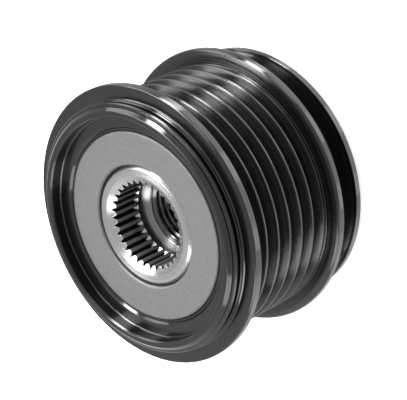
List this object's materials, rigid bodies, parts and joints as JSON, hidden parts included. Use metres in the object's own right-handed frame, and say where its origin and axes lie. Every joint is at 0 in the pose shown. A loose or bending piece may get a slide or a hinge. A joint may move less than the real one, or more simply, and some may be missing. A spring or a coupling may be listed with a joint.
{
  "type": "alternator pulley",
  "caption": "Overrunning alternator pulley: black multi-groove belt ring with flanged edges and a front collar, around a hub with a serrated, threaded bore and a pale cover disc.",
  "frame": {"origin": "centre of the hub's rear face, which is the bottom of the part as it stands", "axes": "+Z along the turning axis, towards the front, where the serrated bore and the cover disc are"},
  "size_m": [0.0606, 0.0606, 0.0402],
  "materials": {
    "pulley_ring": "gloss black coating on turned steel",
    "clutch_sleeve": "hardened, ground bore",
    "hub_shaft": "satin turned steel",
    "ramp_ring": "ground ramps",
    "rear_race": "ground raceway",
    "clutch_cage": "moulded dark nylon",
    "clutch_roller": "ground bright steel",
    "clutch_spring": "spring steel",
    "front_cage": "moulded dark nylon",
    "front_roller": "ground bright steel",
    "rear_cage": "moulded dark nylon",
    "rear_roller": "ground bright steel",
    "front_disc": "matt grey pressed steel",
    "rear_disc": "matt grey pressed steel",
    "front_seal": "moulded black rubber",
    "rear_seal": "moulded black rubber"
  },
  "bodies": {
    "hub": {"hub_shaft": "hub_shaft", "rear_race": "rear_race", "front_disc": "front_disc", "rear_disc": "rear_disc", "ramp_ring": "ramp_ring", "clutch_cage": "clutch_cage", "clutch_spring_1": "clutch_spring", "clutch_spring_2": "clutch_spring", "clutch_spring_3": "clutch_spring", "clutch_spring_4": "clutch_spring", "clutch_spring_5": "clutch_spring", "clutch_spring_6": "clutch_spring", "clutch_spring_7": "clutch_spring", "clutch_spring_8": "clutch_spring"},
    "pulley": {"pulley_ring": "pulley_ring", "clutch_sleeve": "clutch_sleeve", "front_seal": "front_seal", "rear_seal": "rear_seal"},
    "front_cage": {"front_cage": "front_cage"},
    "front_roller_1": {"front_roller_1": "front_roller"},
    "front_roller_2": {"front_roller_2": "front_roller"},
    "front_roller_3": {"front_roller_3": "front_roller"},
    "front_roller_4": {"front_roller_4": "front_roller"},
    "front_roller_5": {"front_roller_5": "front_roller"},
    "front_roller_6": {"front_roller_6": "front_roller"},
    "front_roller_7": {"front_roller_7": "front_roller"},
    "front_roller_8": {"front_roller_8": "front_roller"},
    "front_roller_9": {"front_roller_9": "front_roller"},
    "front_roller_10": {"front_roller_10": "front_roller"},
    "front_roller_11": {"front_roller_11": "front_roller"},
    "front_roller_12": {"front_roller_12": "front_roller"},
    "rear_cage": {"rear_cage": "rear_cage"},
    "rear_roller_1": {"rear_roller_1": "rear_roller"},
    "rear_roller_2": {"rear_roller_2": "rear_roller"},
    "rear_roller_3": {"rear_roller_3": "rear_roller"},
    "rear_roller_4": {"rear_roller_4": "rear_roller"},
    "rear_roller_5": {"rear_roller_5": "rear_roller"},
    "rear_roller_6": {"rear_roller_6": "rear_roller"},
    "rear_roller_7": {"rear_roller_7": "rear_roller"},
    "rear_roller_8": {"rear_roller_8": "rear_roller"},
    "rear_roller_9": {"rear_roller_9": "rear_roller"},
    "rear_roller_10": {"rear_roller_10": "rear_roller"},
    "rear_roller_11": {"rear_roller_11": "rear_roller"},
    "rear_roller_12": {"rear_roller_12": "rear_roller"},
    "clutch_roller_1": {"clutch_roller_1": "clutch_roller"},
    "clutch_roller_2": {"clutch_roller_2": "clutch_roller"},
    "clutch_roller_3": {"clutch_roller_3": "clutch_roller"},
    "clutch_roller_4": {"clutch_roller_4": "clutch_roller"},
    "clutch_roller_5": {"clutch_roller_5": "clutch_roller"},
    "clutch_roller_6": {"clutch_roller_6": "clutch_roller"},
    "clutch_roller_7": {"clutch_roller_7": "clutch_roller"},
    "clutch_roller_8": {"clutch_roller_8": "clutch_roller"}
  },
  "joints": [
    {"name": "pulley_spin", "type": "hinge", "parent": "hub", "child": "pulley", "pos_m": [0, 0, 0], "axis": [0, 0, 1], "continuous": true},
    {"name": "front_cage_spin", "type": "hinge", "parent": "hub", "child": "front_cage", "pos_m": [0, 0, 0], "axis": [0, 0, 1], "continuous": true},
    {"name": "front_roller_1_spin", "type": "hinge", "parent": "front_cage", "child": "front_roller_1", "pos_m": [0.0151, 0, 0.0299], "axis": [0, 0, 1], "continuous": true},
    {"name": "front_roller_2_spin", "type": "hinge", "parent": "front_cage", "child": "front_roller_2", "pos_m": [0.01308, 0.00755, 0.0299], "axis": [0, 0, 1], "continuous": true},
    {"name": "front_roller_3_spin", "type": "hinge", "parent": "front_cage", "child": "front_roller_3", "pos_m": [0.00755, 0.01308, 0.0299], "axis": [0, 0, 1], "continuous": true},
    {"name": "front_roller_4_spin", "type": "hinge", "parent": "front_cage", "child": "front_roller_4", "pos_m": [0, 0.0151, 0.0299], "axis": [0, 0, 1], "continuous": true},
    {"name": "front_roller_5_spin", "type": "hinge", "parent": "front_cage", "child": "front_roller_5", "pos_m": [-0.00755, 0.01308, 0.0299], "axis": [0, 0, 1], "continuous": true},
    {"name": "front_roller_6_spin", "type": "hinge", "parent": "front_cage", "child": "front_roller_6", "pos_m": [-0.01308, 0.00755, 0.0299], "axis": [0, 0, 1], "continuous": true},
    {"name": "front_roller_7_spin", "type": "hinge", "parent": "front_cage", "child": "front_roller_7", "pos_m": [-0.0151, 0, 0.0299], "axis": [0, 0, 1], "continuous": true},
    {"name": "front_roller_8_spin", "type": "hinge", "parent": "front_cage", "child": "front_roller_8", "pos_m": [-0.01308, -0.00755, 0.0299], "axis": [0, 0, 1], "continuous": true},
    {"name": "front_roller_9_spin", "type": "hinge", "parent": "front_cage", "child": "front_roller_9", "pos_m": [-0.00755, -0.01308, 0.0299], "axis": [0, 0, 1], "continuous": true},
    {"name": "front_roller_10_spin", "type": "hinge", "parent": "front_cage", "child": "front_roller_10", "pos_m": [0, -0.0151, 0.0299], "axis": [0, 0, 1], "continuous": true},
    {"name": "front_roller_11_spin", "type": "hinge", "parent": "front_cage", "child": "front_roller_11", "pos_m": [0.00755, -0.01308, 0.0299], "axis": [0, 0, 1], "continuous": true},
    {"name": "front_roller_12_spin", "type": "hinge", "parent": "front_cage", "child": "front_roller_12", "pos_m": [0.01308, -0.00755, 0.0299], "axis": [0, 0, 1], "continuous": true},
    {"name": "rear_cage_spin", "type": "hinge", "parent": "hub", "child": "rear_cage", "pos_m": [0, 0, 0], "axis": [0, 0, 1], "continuous": true},
    {"name": "rear_roller_1_spin", "type": "hinge", "parent": "rear_cage", "child": "rear_roller_1", "pos_m": [0.0151, 0, 0.0097], "axis": [0, 0, 1], "continuous": true},
    {"name": "rear_roller_2_spin", "type": "hinge", "parent": "rear_cage", "child": "rear_roller_2", "pos_m": [0.01308, 0.00755, 0.0097], "axis": [0, 0, 1], "continuous": true},
    {"name": "rear_roller_3_spin", "type": "hinge", "parent": "rear_cage", "child": "rear_roller_3", "pos_m": [0.00755, 0.01308, 0.0097], "axis": [0, 0, 1], "continuous": true},
    {"name": "rear_roller_4_spin", "type": "hinge", "parent": "rear_cage", "child": "rear_roller_4", "pos_m": [0, 0.0151, 0.0097], "axis": [0, 0, 1], "continuous": true},
    {"name": "rear_roller_5_spin", "type": "hinge", "parent": "rear_cage", "child": "rear_roller_5", "pos_m": [-0.00755, 0.01308, 0.0097], "axis": [0, 0, 1], "continuous": true},
    {"name": "rear_roller_6_spin", "type": "hinge", "parent": "rear_cage", "child": "rear_roller_6", "pos_m": [-0.01308, 0.00755, 0.0097], "axis": [0, 0, 1], "continuous": true},
    {"name": "rear_roller_7_spin", "type": "hinge", "parent": "rear_cage", "child": "rear_roller_7", "pos_m": [-0.0151, 0, 0.0097], "axis": [0, 0, 1], "continuous": true},
    {"name": "rear_roller_8_spin", "type": "hinge", "parent": "rear_cage", "child": "rear_roller_8", "pos_m": [-0.01308, -0.00755, 0.0097], "axis": [0, 0, 1], "continuous": true},
    {"name": "rear_roller_9_spin", "type": "hinge", "parent": "rear_cage", "child": "rear_roller_9", "pos_m": [-0.00755, -0.01308, 0.0097], "axis": [0, 0, 1], "continuous": true},
    {"name": "rear_roller_10_spin", "type": "hinge", "parent": "rear_cage", "child": "rear_roller_10", "pos_m": [0, -0.0151, 0.0097], "axis": [0, 0, 1], "continuous": true},
    {"name": "rear_roller_11_spin", "type": "hinge", "parent": "rear_cage", "child": "rear_roller_11", "pos_m": [0.00755, -0.01308, 0.0097], "axis": [0, 0, 1], "continuous": true},
    {"name": "rear_roller_12_spin", "type": "hinge", "parent": "rear_cage", "child": "rear_roller_12", "pos_m": [0.01308, -0.00755, 0.0097], "axis": [0, 0, 1], "continuous": true},
    {"name": "clutch_roller_1_spin", "type": "hinge", "parent": "hub", "child": "clutch_roller_1", "pos_m": [0.01545, 0, 0.0198], "axis": [0, 0, 1], "continuous": true},
    {"name": "clutch_roller_2_spin", "type": "hinge", "parent": "hub", "child": "clutch_roller_2", "pos_m": [0.01092, 0.01092, 0.0198], "axis": [0, 0, 1], "continuous": true},
    {"name": "clutch_roller_3_spin", "type": "hinge", "parent": "hub", "child": "clutch_roller_3", "pos_m": [0, 0.01545, 0.0198], "axis": [0, 0, 1], "continuous": true},
    {"name": "clutch_roller_4_spin", "type": "hinge", "parent": "hub", "child": "clutch_roller_4", "pos_m": [-0.01092, 0.01092, 0.0198], "axis": [0, 0, 1], "continuous": true},
    {"name": "clutch_roller_5_spin", "type": "hinge", "parent": "hub", "child": "clutch_roller_5", "pos_m": [-0.01545, 0, 0.0198], "axis": [0, 0, 1], "continuous": true},
    {"name": "clutch_roller_6_spin", "type": "hinge", "parent": "hub", "child": "clutch_roller_6", "pos_m": [-0.01092, -0.01092, 0.0198], "axis": [0, 0, 1], "continuous": true},
    {"name": "clutch_roller_7_spin", "type": "hinge", "parent": "hub", "child": "clutch_roller_7", "pos_m": [0, -0.01545, 0.0198], "axis": [0, 0, 1], "continuous": true},
    {"name": "clutch_roller_8_spin", "type": "hinge", "parent": "hub", "child": "clutch_roller_8", "pos_m": [0.01092, -0.01092, 0.0198], "axis": [0, 0, 1], "continuous": true}
  ],
  "couplings": [
    {"joint": "front_cage_spin", "follows": "pulley_spin", "ratio": 0.56622},
    {"joint": "front_roller_1_spin", "follows": "pulley_spin", "ratio": 3.7088},
    {"joint": "front_roller_2_spin", "follows": "pulley_spin", "ratio": 3.7088},
    {"joint": "front_roller_3_spin", "follows": "pulley_spin", "ratio": 3.7088},
    {"joint": "front_roller_4_spin", "follows": "pulley_spin", "ratio": 3.7088},
    {"joint": "front_roller_5_spin", "follows": "pulley_spin", "ratio": 3.7088},
    {"joint": "front_roller_6_spin", "follows": "pulley_spin", "ratio": 3.7088},
    {"joint": "front_roller_7_spin", "follows": "pulley_spin", "ratio": 3.7088},
    {"joint": "front_roller_8_spin", "follows": "pulley_spin", "ratio": 3.7088},
    {"joint": "front_roller_9_spin", "follows": "pulley_spin", "ratio": 3.7088},
    {"joint": "front_roller_10_spin", "follows": "pulley_spin", "ratio": 3.7088},
    {"joint": "front_roller_11_spin", "follows": "pulley_spin", "ratio": 3.7088},
    {"joint": "front_roller_12_spin", "follows": "pulley_spin", "ratio": 3.7088},
    {"joint": "rear_cage_spin", "follows": "pulley_spin", "ratio": 0.56622},
    {"joint": "rear_roller_1_spin", "follows": "pulley_spin", "ratio": 3.7088},
    {"joint": "rear_roller_2_spin", "follows": "pulley_spin", "ratio": 3.7088},
    {"joint": "rear_roller_3_spin", "follows": "pulley_spin", "ratio": 3.7088},
    {"joint": "rear_roller_4_spin", "follows": "pulley_spin", "ratio": 3.7088},
    {"joint": "rear_roller_5_spin", "follows": "pulley_spin", "ratio": 3.7088},
    {"joint": "rear_roller_6_spin", "follows": "pulley_spin", "ratio": 3.7088},
    {"joint": "rear_roller_7_spin", "follows": "pulley_spin", "ratio": 3.7088},
    {"joint": "rear_roller_8_spin", "follows": "pulley_spin", "ratio": 3.7088},
    {"joint": "rear_roller_9_spin", "follows": "pulley_spin", "ratio": 3.7088},
    {"joint": "rear_roller_10_spin", "follows": "pulley_spin", "ratio": 3.7088},
    {"joint": "rear_roller_11_spin", "follows": "pulley_spin", "ratio": 3.7088},
    {"joint": "rear_roller_12_spin", "follows": "pulley_spin", "ratio": 3.7088},
    {"joint": "clutch_roller_1_spin", "follows": "pulley_spin", "ratio": 11.793},
    {"joint": "clutch_roller_2_spin", "follows": "pulley_spin", "ratio": 11.793},
    {"joint": "clutch_roller_3_spin", "follows": "pulley_spin", "ratio": 11.793},
    {"joint": "clutch_roller_4_spin", "follows": "pulley_spin", "ratio": 11.793},
    {"joint": "clutch_roller_5_spin", "follows": "pulley_spin", "ratio": 11.793},
    {"joint": "clutch_roller_6_spin", "follows": "pulley_spin", "ratio": 11.793},
    {"joint": "clutch_roller_7_spin", "follows": "pulley_spin", "ratio": 11.793},
    {"joint": "clutch_roller_8_spin", "follows": "pulley_spin", "ratio": 11.793}
  ]
}
